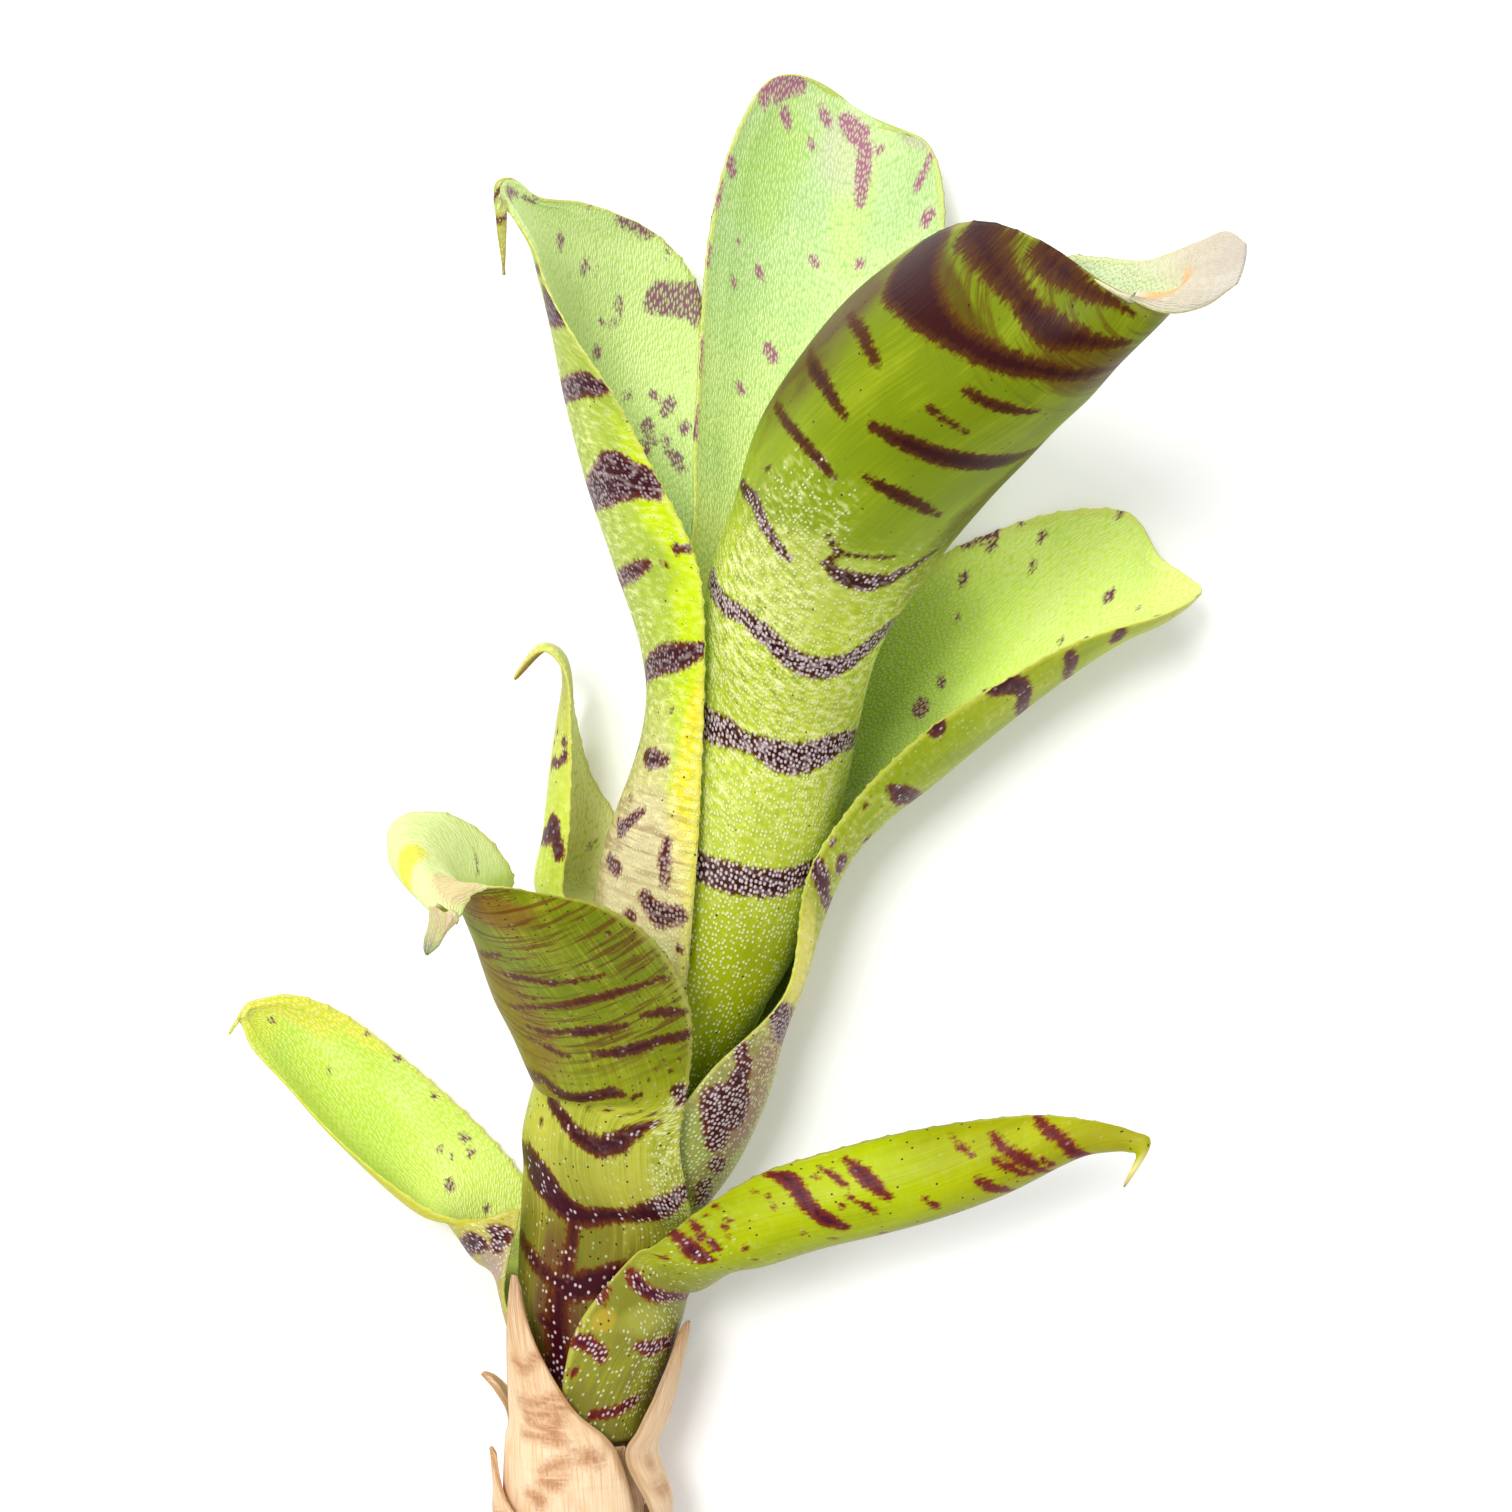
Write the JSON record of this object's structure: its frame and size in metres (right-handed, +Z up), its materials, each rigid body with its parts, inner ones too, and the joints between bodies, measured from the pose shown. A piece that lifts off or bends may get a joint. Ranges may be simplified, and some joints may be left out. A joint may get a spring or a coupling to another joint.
{
  "type": "neoregelia bromeliad",
  "caption": "Cut bromeliad offset lying on its back: banded strap leaves with toothed edges and hooked tips round a tube, dry bracts at its foot.",
  "frame": {"origin": "middle of the part's box, on the surface that the plant lies on", "axes": "+Y from the cut foot to the leaf tips, +X to the right as seen from above, +Z up from the surface"},
  "size_m": [0.0996, 0.1554, 0.0633],
  "materials": {
    "leaf": "satin, yellow-green with maroon bands and white scales",
    "leaf_pale": "satin, pale green inner face with purple spots",
    "bract": "matte, dry and fibrous",
    "stem": "matte, rough"
  },
  "bodies": {
    "root": {"stem": "stem", "leaf_lower_right": "leaf", "leaf_front": "leaf", "leaf_right": "leaf", "leaf_left": "leaf", "leaf_upper_right": "leaf", "leaf_lower_left": "leaf_pale", "leaf_back_left": "leaf_pale", "leaf_top": "leaf_pale", "bract_front": "bract", "bract_right": "bract", "bract_inner": "bract", "bract_left_hook": "bract", "bract_left_low": "bract", "bract_back": "bract"}
  },
  "joints": []
}
